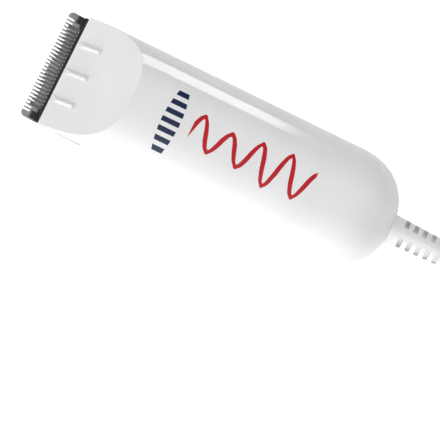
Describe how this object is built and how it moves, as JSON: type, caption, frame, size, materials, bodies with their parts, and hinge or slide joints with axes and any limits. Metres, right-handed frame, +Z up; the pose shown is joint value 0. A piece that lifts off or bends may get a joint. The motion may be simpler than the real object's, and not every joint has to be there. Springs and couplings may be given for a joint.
{
  "type": "hair clipper",
  "caption": "Small corded hair clipper: rounded white housing with a sloping ribbed nose, steel toothed blades, slide switch and windowed cord boot with a tied lead and plug.",
  "frame": {"origin": "under the middle of the clipper, on the surface that it lies on, measured without the cord", "axes": "+X from the blade to the cord end along the housing, +Z up away from the flat underside, +Y to the side"},
  "size_m": [0.2901, 0.048, 0.031],
  "materials": {
    "white_gloss_plastic": "glossy moulded, with a satin nose facet",
    "zinc_screw": "zinc plated",
    "blade_steel": "ground",
    "black_plastic": "moulded",
    "spring_steel": "bright",
    "natural_nylon": "moulded",
    "white_rubber": "soft satin",
    "wire_insulation": "extruded",
    "tie_strap": "woven look",
    "plug_brass": "plated",
    "zinc_steel": "zinc plated",
    "bearing_bronze": "sintered",
    "magnet_ferrite": "sintered",
    "copper_wire": "enamelled",
    "carbon_brush": "pressed",
    "board_laminate": "solder mask",
    "capacitor_sleeve": "sleeved"
  },
  "bodies": {
    "clipper": {"upper_housing": "white_gloss_plastic", "lower_housing": "white_gloss_plastic", "housing_screws": "zinc_screw", "fixed_blade": "blade_steel", "blade_guide": "black_plastic", "blade_screws": "zinc_screw", "tension_spring": "spring_steel", "cord_boot": "white_rubber", "cord_grip": "black_plastic", "lead_wires": "wire_insulation", "cord_lead": "white_rubber", "cord_hank": "white_rubber", "cord_tie": "tie_strap", "cord_tail": "white_rubber", "plug_body": "white_rubber", "plug_blades": "plug_brass", "motor_can": "zinc_steel", "motor_front_bearing": "bearing_bronze", "motor_rear_bearing": "bearing_bronze", "motor_end_cap": "black_plastic", "motor_magnets": "magnet_ferrite", "motor_brushes": "carbon_brush", "motor_terminals": "plug_brass", "circuit_board": "board_laminate", "rectifier_diodes": "black_plastic", "smoothing_capacitor": "capacitor_sleeve", "choke_coil": "copper_wire", "switch_body": "black_plastic"},
    "cutter": {"moving_blade": "blade_steel", "drive_fork": "natural_nylon"},
    "rotor": {"motor_shaft": "spring_steel", "armature_core": "zinc_steel", "armature_windings": "copper_wire", "commutator": "copper_wire", "eccentric_cam": "black_plastic"},
    "switch": {"switch_button": "black_plastic", "switch_stem": "black_plastic"}
  },
  "joints": [
    {"name": "cutter_slide", "type": "slide", "parent": "clipper", "child": "cutter", "axis": [0, 1, 0], "range_m": [-0.001, 0.001]},
    {"name": "rotor_spin", "type": "hinge", "parent": "clipper", "child": "rotor", "pos_m": [0, 0, 0.0142], "axis": [1, 0, 0], "continuous": true},
    {"name": "switch_slide", "type": "slide", "parent": "clipper", "child": "switch", "axis": [1, 0, 0], "range_m": [0, 0.004]}
  ]
}
